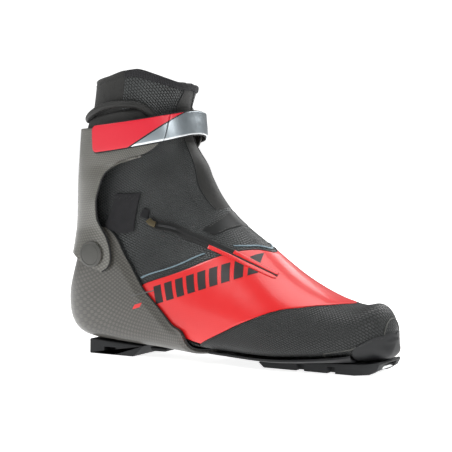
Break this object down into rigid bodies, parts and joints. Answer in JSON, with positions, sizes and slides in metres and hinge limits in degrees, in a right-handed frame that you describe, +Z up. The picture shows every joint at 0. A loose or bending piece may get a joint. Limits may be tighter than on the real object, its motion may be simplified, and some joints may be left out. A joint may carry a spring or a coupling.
{
  "type": "cross country ski boot",
  "caption": "Right skate boot with a hinged rear cuff, closing strap, diagonal zip cover, moulded heel cup and a grooved binding sole with a toe bar.",
  "frame": {"origin": "centre of the bounding box, on the ground under the sole", "axes": "+X to the toe, +Y to the inner side of the foot, +Z up"},
  "size_m": [0.3078, 0.1042, 0.2457],
  "materials": {
    "textured_fabric": "embossed matt",
    "red_film": "glossy film",
    "neoprene": "smooth matt",
    "lining": "knit",
    "webbing": "woven",
    "carbon": "carbon weave, satin",
    "sole_rubber": "matt",
    "steel": "satin",
    "cap_plastic": "matt",
    "strap_silver": "metallic",
    "strap_red": "satin",
    "zip_metal": "aged",
    "zip_tape": "matt",
    "stripe_grey": "reflective"
  },
  "bodies": {
    "root": {"toe_box": "textured_fabric", "overlay_panel": "red_film", "quarter": "textured_fabric", "ankle_gusset": "textured_fabric", "liner_foot": "lining", "liner_ankle": "lining", "tongue": "lining", "lace_loop_lateral_1": "webbing", "lace_loop_lateral_2": "webbing", "lace_loop_lateral_3": "webbing", "lace_loop_lateral_4": "webbing", "lace_loop_medial_1": "webbing", "lace_loop_medial_2": "webbing", "lace_loop_medial_3": "webbing", "lace_loop_medial_4": "webbing", "insole_board": "lining", "heel_cup": "carbon", "sole_plate": "sole_rubber", "toe_rand": "sole_rubber", "pivot_post_lateral": "steel", "pivot_post_medial": "steel", "zip_lip_upper": "textured_fabric", "zip_lip_lower": "textured_fabric", "zip_chain": "zip_tape", "zip_garage": "webbing", "instep_band": "textured_fabric", "reflective_stripe_rear": "stripe_grey", "reflective_stripe_front": "stripe_grey", "ankle_tab": "webbing", "outsole_front": "sole_rubber", "toe_bar": "steel", "outsole_heel": "sole_rubber", "arch_lug": "sole_rubber"},
    "cuff": {"cuff": "carbon", "cuff_padding": "neoprene", "cuff_piping": "neoprene", "pivot_cap_lateral": "cap_plastic", "pivot_cap_medial": "cap_plastic", "shaft_front_strip": "neoprene", "shaft_panel_lateral": "textured_fabric", "shaft_panel_medial": "textured_fabric", "rear_neoprene_panel": "neoprene", "liner_shaft": "lining", "collar_binding": "webbing", "loop_patch": "webbing", "strap_anchor_tab": "strap_silver", "strap_rivet_lower": "steel", "strap_rivet_upper": "steel"},
    "strap": {"strap_front": "strap_silver"},
    "strap_end": {"strap_free_end": "strap_red"},
    "slider": {"zip_slider": "zip_metal"},
    "pull": {"zip_pull": "stripe_grey"}
  },
  "joints": [
    {"name": "cuff_flex", "type": "hinge", "parent": "root", "child": "cuff", "pos_m": [-0.10933, 0, 0.089], "axis": [0, 1, 0], "range_deg": [0, 18], "deforming": ["ankle_gusset", "liner_ankle"]},
    {"name": "strap_swing", "type": "hinge", "parent": "cuff", "child": "strap", "pos_m": [-0.06563, 0.04525, 0.19202], "axis": [0, 0, 1], "range_deg": [0, 35]},
    {"name": "strap_peel", "type": "hinge", "parent": "strap", "child": "strap_end", "pos_m": [-0.04179, -0.03168, 0.19376], "axis": [0, 0, 1], "range_deg": [0, 70]},
    {"name": "zip_run", "type": "hinge", "parent": "root", "child": "slider", "pos_m": [-0.23091, 0.06536, -0.55841], "axis": [-0.0261, 0.9882, 0.1512], "range_deg": [0, 5.5]},
    {"name": "zip_pull_lift", "type": "hinge", "parent": "slider", "child": "pull", "pos_m": [-0.0497, -0.0358, 0.11506], "axis": [-0.1647, -0.1384, -0.9766], "range_deg": [0, 110]}
  ]
}
